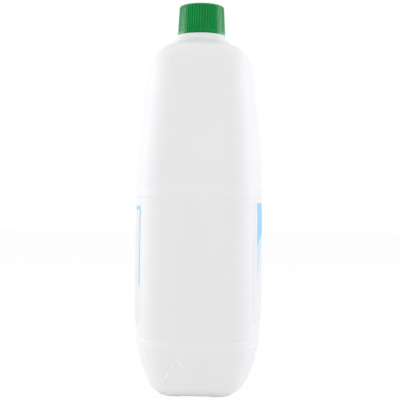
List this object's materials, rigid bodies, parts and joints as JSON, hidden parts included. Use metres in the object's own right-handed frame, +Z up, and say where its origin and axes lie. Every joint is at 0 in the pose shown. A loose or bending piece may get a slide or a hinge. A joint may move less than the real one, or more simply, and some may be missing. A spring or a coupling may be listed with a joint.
{
  "type": "bleach bottle",
  "caption": "Tall blown plastic bottle with a rounded rectangular body, plain face labels and a ribbed push-and-turn screw cap.",
  "frame": {"origin": "centre of the bottle's foot, on the surface that it stands on", "axes": "+Z up through the cap, X along the width, -Y towards the front label and +Y towards the back label"},
  "size_m": [0.1026, 0.0886, 0.2651],
  "materials": {
    "bottle_white": "natural white blown polyethylene, satin, faintly translucent",
    "front_label_film": "printed film, plain fields of cyan, pale blue and white",
    "back_label_film": "printed film, a blue border round a plain pale panel",
    "liner_foam": "pressed foam sheet",
    "inner_cap_white": "moulded polypropylene",
    "cap_green": "moulded green polypropylene, satin"
  },
  "bodies": {
    "bottle_body": {"bottle": "bottle_white", "front_label": "front_label_film", "back_label": "back_label_film"},
    "liner_body": {"cap_liner": "liner_foam"},
    "inner_cap_body": {"inner_cap": "inner_cap_white"},
    "outer_cap_body": {"outer_cap": "cap_green"}
  },
  "joints": [
    {"name": "cap_rise", "type": "slide", "parent": "bottle_body", "child": "liner_body", "axis": [0, 0, 1], "range_m": [0, 0.0212]},
    {"name": "cap_turn", "type": "hinge", "parent": "liner_body", "child": "inner_cap_body", "pos_m": [0, 0, 0.2602], "axis": [0, 0, 1], "range_deg": [0, 1800]},
    {"name": "cap_push", "type": "slide", "parent": "inner_cap_body", "child": "outer_cap_body", "axis": [0, 0, -1], "range_m": [0, 0.0009], "stiffness_N_per_m": 10000}
  ],
  "couplings": [
    {"joint": "cap_rise", "follows": "cap_turn", "m_per_rad": 0.0006737}
  ]
}
